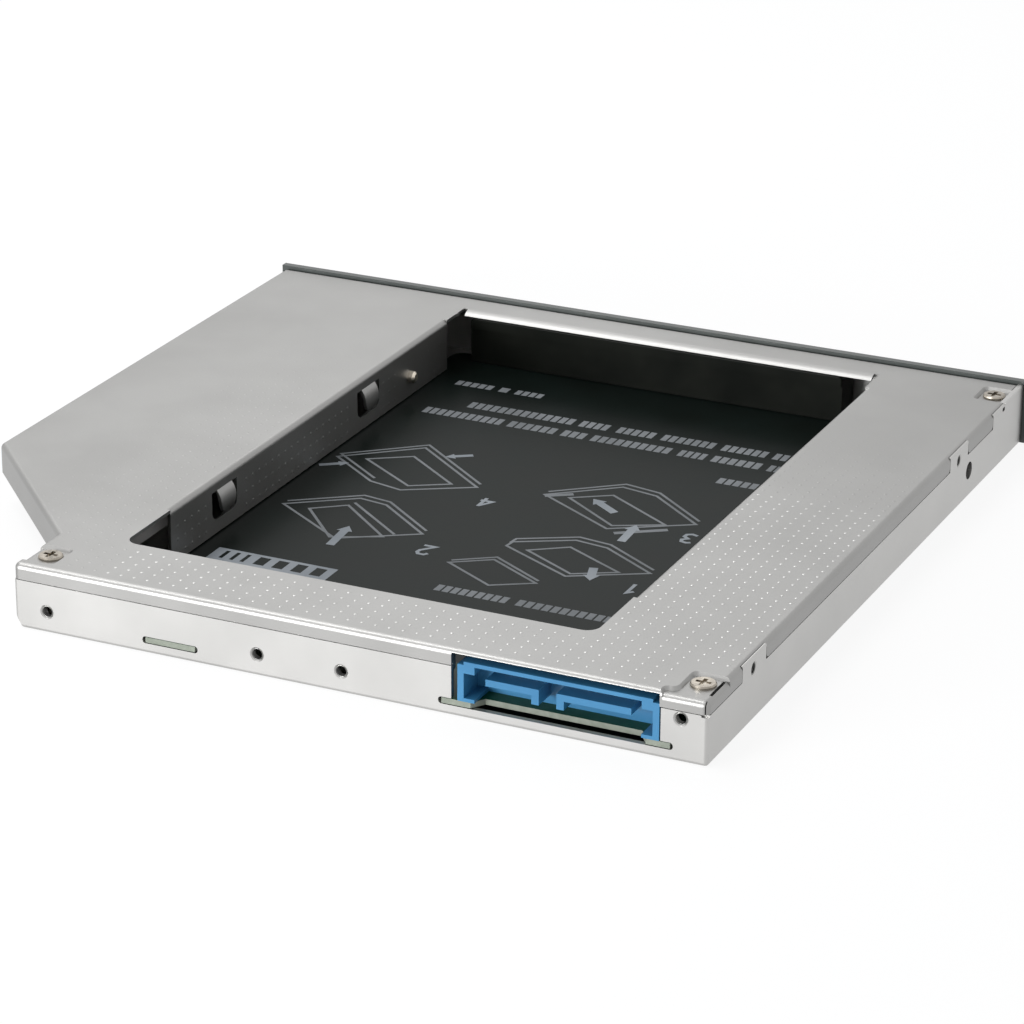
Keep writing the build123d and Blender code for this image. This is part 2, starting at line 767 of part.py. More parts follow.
def board_outline():
    """Plan of the adapter board, with the ears that reach through the rear wall."""
    ear_y = board_rear_y + board_ear_reach
    slope = board_ear_slope
    points = [(board_left_x, board_front_y), (board_left_x, board_rear_y)]
    ear = board_ears[2]
    points += [(ear[1], board_rear_y), (ear[1], ear_y), (ear[0], ear_y), (ear[0], board_rear_y)]
    ear = board_ears[1]
    points += [(ear[1], board_rear_y), (ear[1], ear_y), (ear[0], ear_y), (ear[0] - slope, board_rear_y)]
    ear = board_ears[0]
    points += [(ear[1] + slope, board_rear_y), (ear[1], ear_y), (ear[0], ear_y)]
    points += [(ear[0], board_front_y)]
    return make_face(Polyline(*points, close=True))


def adapter_board():
    """The circuit board that joins the drive's socket to the host plug."""
    board = Pos(0, 0, board_underside) * extrude(board_outline(), board_sheet)
    for x, z in middle_tapped:
        board -= rod(x, board_rear_y, 0, board_top + 1, board_notch_radius)
    for x, y in board_screw_xy:
        board -= rod(x, y, 0, board_top + 1, board_screw_radius + screw_hole_gap)
    return board


def board_screws():
    """The two screws that hold the board to its standoffs."""
    screws = []
    for x, y in board_screw_xy:
        top = board_top + board_screw_head_height
        head = rod(x, y, board_top, top, board_screw_head)
        head = chamfer(head.edges().group_by(Axis.Z)[-1], board_screw_bevel)
        screw = head + rod(x, y, floor_top + sheet_gap, board_top, board_screw_radius)
        screws.append(screw - cross_recess(x, y, top, 1.1 * board_screw_head, 0.6 * board_screw_head_height))
    return screws


def board_standoffs():
    """The threaded standoffs that carry the adapter board."""
    posts = []
    for x, y in board_screw_xy:
        post = rod(x, y, floor_top, board_underside, board_boss_radius)
        posts.append(post - rod(x, y, floor_top, board_underside, board_screw_radius))
    return posts


def contact_places(limits, count, pitch):
    """Contact places along one plate or slot."""
    middle = (limits[0] + limits[1]) / 2
    return [middle + (i - (count - 1) / 2) * pitch for i in range(count)]


def host_contact(x):
    """One contact of the host plug: a blade under its plate and a tail on the board."""
    x0, x1 = x - contact_width / 2, x + contact_width / 2
    top = plate_top - plate_sheet
    tail = rear - plug_depth - contact_tail
    contact = block(x0, x1, tail, rear - plate_setback - contact_setback, top - contact_sheet, top)
    return contact + block(x0, x1, tail, tail + contact_sheet, board_top, top)


def host_signal_contacts():
    """Contacts of the wide plate."""
    limits = (signal_plate_x[0], signal_plate_x[1] - plate_leg_width)
    return [host_contact(x) for x in contact_places(limits, signal_pin_count, signal_pitch)]


def host_power_contacts():
    """Contacts of the short plate."""
    limits = (power_plate_x[0] + plate_leg_width, power_plate_x[1])
    return [host_contact(x) for x in contact_places(limits, host_power_pin_count, host_power_pitch)]


def host_plug():
    """The moulded plug at the rear: an open-bottomed shroud around two keyed plates."""
    y0, y1 = rear - plug_depth, rear
    front_plate = y1 - plate_setback
    inner_left, inner_right = plug_left - plug_wall, plug_right + plug_wall
    plug = block(plug_right, plug_left, y0, y0 + plug_back_wall, board_top, plug_shoulder)
    plug += block(inner_right, inner_left, y0, y1, plug_top - plug_bar, plug_top)
    for wall_outer, wall_inner, side in ((plug_left, inner_left, -1), (plug_right, inner_right, 1)):
        plug += block(wall_outer, wall_inner, y0, y1, board_top, plug_shoulder)
        edge = wall_inner + side * plug_corner_width
        plug += block(wall_inner, edge, y0, y1, plug_shoulder - plug_corner_drop, plug_top - plug_bar / 2)
        plug += block(wall_inner, edge, y0, y1, board_top, board_top + plug_foot_height)
    for x0, x1 in (power_plate_x, signal_plate_x):
        plug += block(x0, x1, y0, front_plate, plate_top - plate_sheet, plate_top)
    leg_bottom = plate_top - plate_sheet - plate_leg_height
    leg = power_plate_x[0]
    plug += block(leg, leg + plate_leg_width, y0, front_plate, leg_bottom, plate_top)
    leg = signal_plate_x[1]
    plug += block(leg - plate_leg_width, leg, y0, front_plate, leg_bottom, plate_top)
    for contact in host_signal_contacts() + host_power_contacts():
        plug -= contact
    return plug


def socket_slots():
    """Limits along X of the socket's signal slot and power slot."""
    total = socket_signal_slot + socket_slot_spacing + socket_power_slot
    start = socket_center_x - total / 2
    signal = (start, start + socket_signal_slot)
    power = (signal[1] + socket_slot_spacing, start + total)
    return signal, power


def socket_contact(x):
    """One contact of the drive socket, along the roof of its slot to a tail on the board."""
    x0, x1 = x - contact_width / 2, x + contact_width / 2
    high = socket_slot_center + socket_slot_height / 2
    tail = socket_rear_y + socket_tail
    contact = block(x0, x1, socket_front_y + contact_setback, tail, high - contact_sheet, high)
    return contact + block(x0, x1, tail - contact_sheet, tail, board_top, high)


def drive_signal_contacts():
    """Signal contacts of the drive socket."""
    return [socket_contact(x) for x in contact_places(socket_slots()[0], signal_pin_count, signal_pitch)]


def drive_power_contacts():
    """Power contacts of the drive socket."""
    return [socket_contact(x) for x in contact_places(socket_slots()[1], drive_power_pin_count, signal_pitch)]


def drive_socket():
    """The moulded socket that the drive is pushed onto."""
    x0, x1 = socket_center_x - socket_width / 2, socket_center_x + socket_width / 2
    y0, slot_end = socket_front_y, socket_front_y + socket_slot_depth
    socket = block(x0, x1, y0, socket_rear_y, board_top, socket_top)
    socket += block(x0, x1, y0, board_front_y - socket_edge_gap, socket_underside, board_top)
    low = socket_slot_center - socket_slot_height / 2
    high = socket_slot_center + socket_slot_height / 2
    signal, power = socket_slots()
    for limits, key in ((signal, signal[0]), (power, power[1] - socket_key_width)):
        socket -= block(*limits, y0, slot_end, low, high)
        socket -= block(key, key + socket_key_width, y0, slot_end, low - socket_key_height, low)
    for x in (x0, x1 - socket_guide_width):
        socket -= block(x, x + socket_guide_width, y0, y0 + socket_guide_depth,
                        socket_underside, socket_underside + socket_guide_height)
    for contact in drive_signal_contacts() + drive_power_contacts():
        socket -= contact
    return socket


def chips(places, size):
    """Small two-ended parts that lie on the board."""
    long, wide, high = size
    return [block(x - long / 2, x + long / 2, y - wide / 2, y + wide / 2, board_top, board_top + high)
            for x, y in places]


def drive_retainer():
    """The plastic bar that slides along the floor to close the bay in front of the drive."""
    x0, x1 = retainer_x
    y1 = retainer_rear_y
    y0 = y1 - retainer_depth
    low = film_top + retainer_gap
    high = body_height - lip_height - retainer_top_gap
    face = y1 - retainer_band_step
    bar = block(x0, x1, y0, face, low, high)
    bar += block(x0, x1, face, y1, high - retainer_band, high)
    ends = [e for e in bar.edges() if abs(e.center().Z - high) < 0.01 and e.length < 2 * retainer_depth]
    bar = fillet(ends, retainer_end_round)
    rim = [e for e in bar.edges().filter_by(Axis.X)
           if abs(e.center().Y - y1) < 0.01 and abs(e.center().Z - high) < 0.01]
    bar = fillet(rim, retainer_rim_round)
    pitch = (x1 - x0 - retainer_rib) / retainer_pocket_count
    for i in range(retainer_pocket_count):
        x = x0 + retainer_rib + i * pitch
        bar -= block(x, x + pitch - retainer_rib, y0, y1 - retainer_back, low, high - retainer_roof)
    return bar


def front_bezel():
    """The plastic bezel, with clips that snap into the tray's front wall."""
    back = front - bezel_gap
    wide = half_width + bezel_overhang
    bezel = block(-wide, wide, back - bezel_depth, back, 0, body_height + bezel_rise)
    bezel = fillet(bezel.faces().sort_by(Axis.Y)[0].edges(), bezel_round)
    reach = front + tray_sheet
    low, top = clip_z - clip_thickness / 2, clip_z + clip_thickness / 2
    for x in clip_x:
        x0, x1 = x - clip_width / 2, x + clip_width / 2
        bezel += block(x0 - clip_root, x1 + clip_root, back, front, low - clip_root, top + clip_root)
        bezel += block(x0, x1, back, reach + clip_barb, low, top)
        barb = make_face(Polyline((reach, top), (reach + clip_barb, top), (reach, top + clip_barb), close=True))
        bezel += Pos(x0, 0, 0) * Rot(Z=90) * Rot(X=90) * extrude(barb, clip_width)
    return bezel


def locating_pin():
    """The pin staked in the left bay wall, whose tip reaches into the bay."""
    tip = window_left - pin_reach
    back = window_left + cover_sheet
    pin = rod_along_x(pin_y, pin_z, tip, back, pin_radius)
    pin = chamfer(pin.edges().group_by(Axis.X)[0], pin_tip_round)
    return pin + rod_along_x(pin_y, pin_z, back, back + pin_head_height, pin_head_radius)


def as_part(shape):
    """One solid, or a group of separate solids, moved to the origin of the whole caddy."""
    if isinstance(shape, list):
        solids = [s for item in shape for s in item.solids()]
        return Compound(children=[to_origin * s for s in solids])
    solids = shape.solids()
    return to_origin * (solids[0] if len(solids) == 1 else Compound(children=solids))


def all_nodes():
    """Every piece of the caddy by its node's name."""
    return {
        "bottom_tray": bottom_tray(),
        "top_cover": top_cover(),
        "floor_film": floor_film(),
        "front_bezel": front_bezel(),
        "drive_retainer": drive_retainer(),
        "adapter_board": adapter_board(),
        "board_standoffs": board_standoffs(),
        "board_screws": board_screws(),
        "board_capacitors": chips(capacitor_xy, capacitor_size),
        "board_resistors": chips(resistor_xy, resistor_size),
        "host_plug": host_plug(),
        "host_signal_contacts": host_signal_contacts(),
        "host_power_contacts": host_power_contacts(),
        "drive_socket": drive_socket(),
        "drive_signal_contacts": drive_signal_contacts(),
        "drive_power_contacts": drive_power_contacts(),
        "cover_screws": cover_screws(),
        "cover_standoffs": cover_standoffs(),
        "locating_pin": locating_pin(),
    }


def main():
    """Write one file for each node."""
    os.makedirs("parts", exist_ok=True)
    for name, shape in all_nodes().items():
        export_step(as_part(shape), f"parts/{name}.step")


if __name__ == "__main__":
    main()
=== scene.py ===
import math
import bmesh
import bpy
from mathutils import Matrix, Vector


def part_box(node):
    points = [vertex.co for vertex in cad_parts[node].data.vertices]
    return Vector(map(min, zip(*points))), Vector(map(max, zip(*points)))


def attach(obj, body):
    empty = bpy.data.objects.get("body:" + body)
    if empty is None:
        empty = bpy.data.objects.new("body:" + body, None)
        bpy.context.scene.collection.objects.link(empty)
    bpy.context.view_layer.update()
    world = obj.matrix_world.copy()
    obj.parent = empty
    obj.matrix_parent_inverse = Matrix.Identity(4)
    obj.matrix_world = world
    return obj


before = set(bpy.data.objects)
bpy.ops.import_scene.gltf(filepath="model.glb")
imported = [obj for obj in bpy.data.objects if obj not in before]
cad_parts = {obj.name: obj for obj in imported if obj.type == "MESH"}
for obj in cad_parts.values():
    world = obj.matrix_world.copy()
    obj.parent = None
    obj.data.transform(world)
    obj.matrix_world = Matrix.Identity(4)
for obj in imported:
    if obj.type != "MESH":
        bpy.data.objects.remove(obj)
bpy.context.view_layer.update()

# Sizes are in metres, except where a comment says millimetres
mm = 0.001
to_wing = Vector((1, 0, 0))
to_rear = Vector((0, 1, 0))
to_top = Vector((0, 0, 1))

cover_low, cover_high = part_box("top_cover")
tray_low, tray_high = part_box("bottom_tray")
film_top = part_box("floor_film")[1][2]

# Floor and surroundings
floor_half = 3.0
floor_drop = 0.05 * mm
floor_color = (0.9, 0.9, 0.9, 1)
floor_roughness = 0.9
floor_glow_share = 0.88
white = (1, 1, 1, 1)
studio_color = (0.95, 0.97, 1.0, 1)
studio_strength = 0.6

# Lamps: name, place, what it points at, width and length, watts
lamps = [
    ("key", (0.25, -0.15, 0.35), (0.02, 0.03, 0), (0.25, 0.25), 0.34),
    ("rear_light", (0.28, 0.61, 0.09), (0, 0.06, 0), (0.3, 0.16), 4.7),
    ("overhead", (0.35, 0.12, 0.85), (0, 0, 0), (0.4, 0.4), 3.0),
    ("edge_light", (0.13, -0.31, 0.25), (-0.03, 0.05, 0), (0.15, 0.15), 0.080),
]

# Camera, at the photograph's angle
camera_place = (-0.23013, 0.48262, 0.21849)
camera_turn_deg = (67.785, -0.306, -155.029)
camera_lens_mm = 137.95
camera_sensor_mm = 36.0

# Raised dots on the cover. They have their full rise near the plug and get lower away from it.
# Above a share of that rise they are paler than the cover, a painted highlight; below it they
# have the cover's own finish.
dot_pitch_x = 2.03 * mm
dot_pitch_y = 2.02 * mm
dot_first_x = -62.25 * mm
dot_first_y = 61.7 * mm
dot_radius = 0.24 * mm
dot_rise = 0.075 * mm
dot_sink = 0.005 * mm
dot_rings = 3
dot_sides = 8
dot_edge_margin = 1.0 * mm
dot_fade_length = 70 * mm
dot_fade_start = 0.5
dot_least = 0.15
dot_painted_glint_share = 0.55

# Outlines that the dots keep clear of, seen from above
window_x = (-42.5 * mm, 28.57 * mm)
window_y = (-55.725 * mm, 51.345 * mm)
narrow_side_x = 38.5 * mm
chamfer_rear_y = 52.675 * mm
chamfer_side_y = 26.375 * mm
screw_places = [(-61.2 * mm, 59.375 * mm), (35.5 * mm, 59.375 * mm), (-61.2 * mm, -56.925 * mm)]
pocket_keep_out = 4.2 * mm

# Dots on the left bay wall, clear of its tongues and its pin
wall_dot_rise = 0.5 * dot_rise
wall_dots_y = (-50.0 * mm, 36.5 * mm)
wall_dot_heights = (2.3 * mm, 4.3 * mm, 6.3 * mm)
wall_busy_y = (22.8 * mm, -23.0 * mm, -37.5 * mm)
wall_keep_out = 5.0 * mm

# Thread turns in the tapped holes, in a dark steel that paints the shade inside the holes. The
# holes' places are in millimetres.
rear_threads = [(33.4, 3.1), (0.9, 3.1), (-11.7, 3.1), (-60.2, 6.05)]
side_threads = [(48.825, 7.5), (-32.725, 7.5)]
thread_radius = 0.8 * mm
thread_wire = 0.12 * mm
thread_pitch = 0.24 * mm
thread_turns = 4
thread_start = 0.25 * mm
ring_sides = 20
wire_sides = 6

# Values of the noise at which a surface has its dark and its light shade
shade_dark_end = 0.35
shade_light_end = 0.65

# Circuit board: shades of its mask and of its cut edges, and how level a face has to be
# to carry mask
mask_shades = ((0.0, 0.040, 0.016), (0.0, 0.070, 0.028))
edge_shades = ((0.14, 0.16, 0.13), (0.27, 0.29, 0.25))
mask_level = 0.5

# Sockets of a Mix node that mixes colours
mix_color_a = 6
mix_color_b = 7
mix_color_out = 2

# Print on the film. From here on, places and widths are in millimetres.
print_height = 0.012 * mm
ink_step = 0.0004 * mm
print_line = 0.42
edge_line = 0.9
digit_line = 0.55
mitre_least = 0.4
arrow_width, arrow_head = 1.3, 2.4
small_arrow_width, small_arrow_head = 0.9, 1.9
arrow_head_depth = 0.8
sketch_thickness = 1.3
letter_pitch = 1.3
letter_gap = 0.3

# Layers of ink, each a hair above the one before
base_layer, outline_layer, window_layer, lower_layer, detail_layer, under_layer = range(6)
mark_layer, over_layer, block_layer = 6, 7, 9

# Rows of words: lower edge, height, then start and end of each word
word_rows = [
    (28.0, 2.1, [(-38.0, -20.7), (-19.5, -8.2)]),
    (-26.6, 2.2, [(-36.4, -28.5)]),
    (-34.7, 2.5, [(-37.0, -33.5), (-32.5, -24.4), (-23.5, -18.9), (-17.7, -4.4), (-3.5, 0.6),
                  (1.5, 9.7), (10.6, 24.3)]),
    (-39.6, 2.5, [(-37.6, -32.5), (-31.6, -24.1), (-23.0, -14.1), (-13.0, -6.6), (-5.3, -0.3),
                  (0.6, 18.8)]),
    (-47.5, 1.9, [(9.7, 14.6), (15.6, 17.4), (18.4, 25.0)]),
]

# Step numbers, and the place of each one's lower left corner
digit_strokes = [
    ([(0.3, 2.5), (1.1, 3.3), (1.1, 0.0)], (-34.4, 16.1)),
    ([(0.0, 2.6), (0.4, 3.2), (1.3, 3.2), (1.7, 2.6), (1.6, 1.9), (0.0, 0.0), (1.8, 0.0)],
     (-2.1, 16.1)),
    ([(0.0, 3.0), (0.6, 3.3), (1.4, 3.1), (1.6, 2.4), (0.9, 1.8), (1.7, 1.2), (1.6, 0.4),
      (0.9, 0.0), (0.0, 0.3)], (-34.4, -4.3)),
    ([(1.35, 3.2), (0.0, 1.0), (1.9, 1.0)], (-2.1, -4.0)),
]
four_stem = ([(1.35, 0.0), (1.35, 3.3)], (-2.1, -4.0))

# Arrows, each from tail to tip
arrows = [
    ((-25.6, 13.2), (-26.9, 17.6)), ((12.0, 21.9), (12.7, 14.4)),
    ((-25.2, 2.6), (-24.8, -4.0)), ((-20.0, -7.0), (-15.0, -10.6)),
]
small_arrows = [((27.9, -5.2), (24.2, -7.9)), ((8.6, -18.8), (12.2, -16.4))]

# Pale field at the rear, with dark blocks and bars: start, width, pitch and number
field_x = (6.7, 25.8)
field_y = (29.5, 34.5)
block_y = (30.2, 32.9)
block_rows = [(8.0, 1.7, 3.0, 4), (20.2, 0.6, 1.7, 3)]


def new_mesh_object(name, bm):
    """A mesh object made from a bmesh, with smooth faces."""
    mesh = bpy.data.meshes.new(name)
    bm.to_mesh(mesh)
    bm.free()
    for polygon in mesh.polygons:
        polygon.use_smooth = True
    piece = bpy.data.objects.new(name, mesh)
    bpy.context.scene.collection.objects.link(piece)
    return piece


def new_material(name):
    """A node material with its node tree and its shader."""
    material = bpy.data.materials.new(name)
    material.use_nodes = True
    tree = material.node_tree
    shader = tree.nodes["Principled BSDF"]
    return material, tree, shader


def add_node(tree, kind, **values):
    """A node with some of its properties or inputs set."""
    node = tree.nodes.new(kind)
    for key, value in values.items():
        if key in node.inputs:
            node.inputs[key].default_value = value
        else:
            setattr(node, key, value)
    return node


def object_noise(tree, scale, detail=3.0):
    """Noise that is fixed to the object."""
    coordinates = add_node(tree, "ShaderNodeTexCoord")
    noise = add_node(tree, "ShaderNodeTexNoise", Scale=scale, Detail=detail)
    tree.links.new(coordinates.outputs["Object"], noise.inputs["Vector"])
    return noise


def add_ramp(tree, noise, shades, ends=(0.0, 1.0)):
    """A colour that drifts with the noise, from the dark shade to the light one."""
    ramp = add_node(tree, "ShaderNodeValToRGB")
    for element, shade, end in zip(ramp.color_ramp.elements, shades, ends):
        element.position = end
        element.color = (*shade, 1)
    tree.links.new(noise.outputs["Fac"], ramp.inputs["Fac"])
    return ramp.outputs["Color"]


def vary_color(tree, shader, noise, dark, light):
    """Base colour that drifts between two shades with the noise."""
    color = add_ramp(tree, noise, (dark, light), (shade_dark_end, shade_light_end))
    tree.links.new(color, shader.inputs["Base Color"])


def vary_roughness(tree, shader, noise, low, high):
    """Roughness that drifts between two values with the noise."""
    span = add_node(tree, "ShaderNodeMapRange")
    span.inputs["To Min"].default_value = low
    span.inputs["To Max"].default_value = high
    tree.links.new(noise.outputs["Fac"], span.inputs["Value"])
    tree.links.new(span.outputs["Result"], shader.inputs["Roughness"])


def add_bump(tree, shader, noise, distance, strength):
    """Surface relief from the noise."""
    bump = add_node(tree, "ShaderNodeBump", Strength=strength, Distance=distance)
    tree.links.new(noise.outputs["Fac"], bump.inputs["Height"])
    tree.links.new(bump.outputs["Normal"], shader.inputs["Normal"])


def satin_aluminium(name, dark, light, roughness):
    """Bead-blasted aluminium with a fine grain."""
    material, tree, shader = new_material(name)
    shader.inputs["Metallic"].default_value = 1.0
    cloud = object_noise(tree, scale=60.0, detail=4.0)
    grain = object_noise(tree, scale=4200.0, detail=2.0)
    vary_color(tree, shader, cloud, dark, light)
    vary_roughness(tree, shader, cloud, low=roughness - 0.03, high=roughness + 0.04)
    add_bump(tree, shader, grain, distance=0.010 * mm, strength=0.5)
    return material


def moulded_plastic(name, dark, light, roughness, grain_scale, grain_depth, ior=1.5):
    """Plastic with a faint colour drift and a moulded grain."""
    material, tree, shader = new_material(name)
    shader.inputs["IOR"].default_value = ior
    cloud = object_noise(tree, scale=90.0)
    grain = object_noise(tree, scale=grain_scale, detail=2.0)
    vary_color(tree, shader, cloud, dark, light)
    vary_roughness(tree, shader, cloud, low=roughness - 0.04, high=roughness + 0.05)
    add_bump(tree, shader, grain, distance=grain_depth, strength=0.6)
    return material


def plated_steel(name, dark, light, roughness):
    """Plated steel with fine turning marks."""
    material, tree, shader = new_material(name)
    shader.inputs["Metallic"].default_value = 1.0
    cloud = object_noise(tree, scale=700.0)
    vary_color(tree, shader, cloud, dark, light)
    vary_roughness(tree, shader, cloud, low=roughness - 0.05, high=roughness + 0.08)
    add_bump(tree, shader, cloud, distance=0.01 * mm, strength=0.4)
    return material


def board_material(name):
    """Green solder mask on the board's faces and bare glass fibre on its cut edges."""
    material, tree, shader = new_material(name)
    shader.inputs["Roughness"].default_value = 0.4
    shader.inputs["IOR"].default_value = 1.22
    geometry = add_node(tree, "ShaderNodeNewGeometry")
    split = add_node(tree, "ShaderNodeSeparateXYZ")
    tree.links.new(geometry.outputs["True Normal"], split.inputs["Vector"])
    level = add_node(tree, "ShaderNodeMath", operation="ABSOLUTE")
    tree.links.new(split.outputs["Z"], level.inputs[0])
    face = add_node(tree, "ShaderNodeMath", operation="GREATER_THAN")
    face.inputs[1].default_value = mask_level
    tree.links.new(level.outputs["Value"], face.inputs[0])
    noise = object_noise(tree, scale=900.0)
    mix = add_node(tree, "ShaderNodeMix", data_type="RGBA")
    tree.links.new(face.outputs["Value"], mix.inputs["Factor"])
    tree.links.new(add_ramp(tree, noise, edge_shades), mix.inputs[mix_color_a])
    tree.links.new(add_ramp(tree, noise, mask_shades), mix.inputs[mix_color_b])
    tree.links.new(mix.outputs[mix_color_out], shader.inputs["Base Color"])
    add_bump(tree, shader, noise, distance=0.01 * mm, strength=0.3)
    return material


def make_materials():
    """All materials by a plain name."""
    return {
        "cover": satin_aluminium("cover_aluminium", dark=(0.302, 0.300, 0.294),
                                 light=(0.330, 0.328, 0.322), roughness=0.42),
        "tray": satin_aluminium("tray_aluminium", dark=(0.465, 0.462, 0.452),
                                light=(0.505, 0.501, 0.491), roughness=0.38),
        # Paler than the cover's aluminium: a painted highlight on the dots
        "dots": satin_aluminium("dot_aluminium_painted_glint", dark=(0.45, 0.45, 0.44),
                                light=(0.50, 0.50, 0.49), roughness=0.32),
        "film": moulded_plastic("film_black", dark=(0.004, 0.006, 0.005),
                                light=(0.005, 0.008, 0.007), roughness=0.30,
                                grain_scale=1500.0, grain_depth=0.004 * mm, ior=1.125),
        "black": moulded_plastic("black_plastic", dark=(0.005, 0.006, 0.005),
                                 light=(0.010, 0.011, 0.009), roughness=0.32,
                                 grain_scale=5000.0, grain_depth=0.01 * mm, ior=1.15),
        "bezel": moulded_plastic("bezel_plastic", dark=(0.036, 0.043, 0.041),
                                 light=(0.046, 0.054, 0.051), roughness=0.30,
                                 grain_scale=4000.0, grain_depth=0.008 * mm),
        "blue": moulded_plastic("blue_plastic", dark=(0.027, 0.143, 0.285),
                                light=(0.035, 0.175, 0.335), roughness=0.30,
                                grain_scale=3000.0, grain_depth=0.01 * mm),
        "steel": plated_steel("screw_steel", dark=(0.26, 0.235, 0.20),
                              light=(0.46, 0.42, 0.36), roughness=0.27),
        # Darker than plated steel: painted shade inside the tapped holes
        "thread": plated_steel("thread_steel_painted_shade", dark=(0.10, 0.10, 0.10),
                               light=(0.22, 0.22, 0.21), roughness=0.30),
        "pin": plated_steel("pin_steel", dark=(0.60, 0.54, 0.45),
                            light=(0.76, 0.70, 0.60), roughness=0.28),
        "gold": plated_steel("contact_gold", dark=(0.72, 0.52, 0.20),
                             light=(0.85, 0.66, 0.30), roughness=0.22),
        "board": board_material("board_green"),
        "ceramic": moulded_plastic("ceramic_tan", dark=(0.30, 0.20, 0.12),
                                   light=(0.38, 0.27, 0.17), roughness=0.5,
                                   grain_scale=3000.0, grain_depth=0.01 * mm),
        "print": moulded_plastic("print_grey", dark=(0.20, 0.22, 0.24),
                                 light=(0.27, 0.29, 0.31), roughness=0.6,
                                 grain_scale=3000.0, grain_depth=0.002 * mm, ior=1.2),
        "fine_print": moulded_plastic("fine_print_grey", dark=(0.14, 0.15, 0.157),
                                      light=(0.19, 0.20, 0.21), roughness=0.6,
                                      grain_scale=3000.0, grain_depth=0.002 * mm, ior=1.2),
    }


def dress_nodes(materials):
    """Give each CAD node its material on all its slots."""
    finishes = {
        "cover": ["top_cover"],
        "tray": ["bottom_tray"],
        "film": ["floor_film"],
        "bezel": ["front_bezel"],
        "black": ["drive_retainer", "drive_socket", "board_resistors"],
        "blue": ["host_plug"],
        "steel": ["cover_screws", "cover_standoffs", "board_screws", "board_standoffs"],
        "pin": ["locating_pin"],
        "gold": ["host_signal_contacts", "host_power_contacts", "drive_signal_contacts",
                 "drive_power_contacts"],
        "board": ["adapter_board"],
        "ceramic": ["board_capacitors"],
    }
    for finish, names in finishes.items():
        for name in names:
            piece = bpy.data.objects[name]
            if not piece.material_slots:
                piece.data.materials.append(materials[finish])
            for slot in piece.material_slots:
                slot.material = materials[finish]


def cover_outline():
    """Corners of the cover, seen from above."""
    x0, y0 = cover_low[0], cover_low[1]
    x1, y1 = cover_high[0], cover_high[1]
    return [(x0, y0), (x1, y0), (x1, chamfer_side_y), (narrow_side_x, chamfer_rear_y),
            (narrow_side_x, y1), (x0, y1)]


def rectangle(x0, x1, y0, y1):
    """Corners of a rectangle, seen from above."""
    return [(x0, y0), (x1, y0), (x1, y1), (x0, y1)]


def inside_by(x, y, corners):
    """How far a place is inside an outline, negative outside."""
    inside = False
    nearest = math.inf
    for (x0, y0), (x1, y1) in zip(corners, corners[1:] + corners[:1]):
        if (y0 > y) != (y1 > y) and x < x0 + (y - y0) * (x1 - x0) / (y1 - y0):
            inside = not inside
        along = Vector((x1 - x0, y1 - y0))
        t = max(0.0, min(1.0, Vector((x - x0, y - y0)).dot(along) / along.length_squared))
        nearest = min(nearest, (Vector((x0, y0)) + along * t - Vector((x, y))).length)
    return nearest if inside else -nearest


def add_dome(bm, center, out, side, rise, tone):
    """A low dome that stands out of a sheet. Its tone is a material slot of its piece."""
    center, other = Vector(center), out.cross(side)
    rings = []
    for i in range(dot_rings):
        climb = i / dot_rings * math.pi / 2
        ring_radius = dot_radius * math.cos(climb)
        height = rise * math.sin(climb)
        ring = []
        for j in range(dot_sides):
            angle = 2 * math.pi * j / dot_sides
            around = side * math.cos(angle) + other * math.sin(angle)
            ring.append(bm.verts.new(center + around * ring_radius + out * height))
        rings.append(ring)
    top = bm.verts.new(center + out * rise)
    for j in range(dot_sides):
        k = (j + 1) % dot_sides
        for low, high in zip(rings, rings[1:]):
            bm.faces.new((low[j], low[k], high[k], high[j])).material_index = tone
        bm.faces.new((rings[-1][j], rings[-1][k], top)).material_index = tone


def cover_dot_places():
    """Places of the dots on the cover, each with its share of the full rise."""
    outline = cover_outline()
    window = rectangle(*window_x, *window_y)
    columns = int((cover_high[0] - dot_first_x) / dot_pitch_x) + 1
    rows = int((dot_first_y - cover_low[1]) / dot_pitch_y) + 1
    places = []
    for i in range(columns):
        for j in range(rows):
            x = dot_first_x + i * dot_pitch_x
            y = dot_first_y - j * dot_pitch_y
            near_edge = inside_by(x, y, outline) < dot_edge_margin
            near_window = inside_by(x, y, window) > -dot_edge_margin
            near_screw = any(max(abs(x - screw_x), abs(y - screw_y)) < pocket_keep_out
                             for screw_x, screw_y in screw_places)
            if near_edge or near_window or near_screw:
                continue
            away = max(dot_first_y - y, x - window_x[1] + dot_fade_length) / dot_fade_length
            share = max(dot_least, min(1.0, 1.0 + dot_fade_start - away))
            places.append((x, y, share))
    return places


def wall_dot_places():
    """Places of the dots on the left bay wall: along the wall and height."""
    places = []
    y = wall_dots_y[1]
    while y > wall_dots_y[0]:
        if all(abs(y - busy) > wall_keep_out for busy in wall_busy_y):
            places += [(y, z) for z in wall_dot_heights]
        y -= dot_pitch_y
    return places


def cover_dots(bright, faint):
    """The grid of small raised dots on the cover, fainter on the wing and on the bay wall, the
    higher ones in a paler material that paints a highlight.
    """
    bm = bmesh.new()
    for x, y, share in cover_dot_places():
        # Dots above the share get the paler material, a painted highlight; the others get the
        # cover's finish
        add_dome(bm, (x, y, cover_high[2] - dot_sink), to_top, to_wing, dot_rise * share,
                 tone=int(share < dot_painted_glint_share))
    for y, z in wall_dot_places():
        add_dome(bm, (window_x[1] + dot_sink, y, z), -to_wing, to_rear, wall_dot_rise, tone=1)
    piece = new_mesh_object("cover_dots", bm)
    piece.data.materials.append(bright)
    piece.data.materials.append(faint)
    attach(piece, "caddy")


